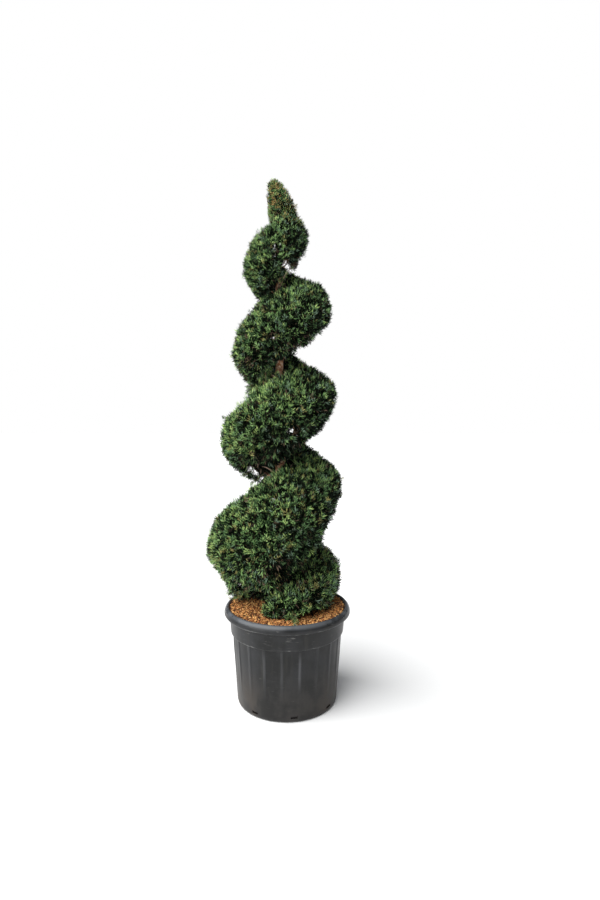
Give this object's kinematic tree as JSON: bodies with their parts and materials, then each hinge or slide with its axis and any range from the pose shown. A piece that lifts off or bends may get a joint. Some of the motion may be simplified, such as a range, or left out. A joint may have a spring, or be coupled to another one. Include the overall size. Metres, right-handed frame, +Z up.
{
  "type": "spiral topiary conifer in a nursery pot",
  "caption": "Tall conifer clipped into a rising spiral round its bare trunk, standing in a round black nursery pot of bark mulch.",
  "frame": {"origin": "centre of the pot's flat underside, on the ground", "axes": "+Z up along the trunk, -Y towards the viewer, +X to the viewer's right"},
  "size_m": [0.7029, 0.6978, 2.6254],
  "materials": {
    "pot_plastic": "scuffed blow-moulded black plastic",
    "mulch": "loose orange-brown bark chips",
    "bark": "rough red-brown bark",
    "foliage": "short dark green needles, lighter at the clipped tips"
  },
  "bodies": {
    "root": {"pot": "pot_plastic", "soil": "mulch", "trunk": "bark", "bough_01": "bark", "bough_02": "bark", "bough_03": "bark", "bough_04": "bark", "bough_05": "bark", "bough_06": "bark", "bough_07": "bark", "bough_08": "bark", "bough_09": "bark", "bough_10": "bark", "bough_11": "bark", "bough_12": "bark", "bough_13": "bark", "bough_14": "bark", "foliage_01": "foliage", "foliage_02": "foliage", "foliage_03": "foliage", "foliage_04": "foliage", "foliage_05": "foliage", "foliage_06": "foliage", "foliage_07": "foliage", "foliage_08": "foliage", "foliage_09": "foliage", "foliage_10": "foliage", "foliage_11": "foliage", "foliage_12": "foliage", "foliage_13": "foliage", "foliage_14": "foliage", "foliage_tip": "foliage"}
  },
  "joints": []
}
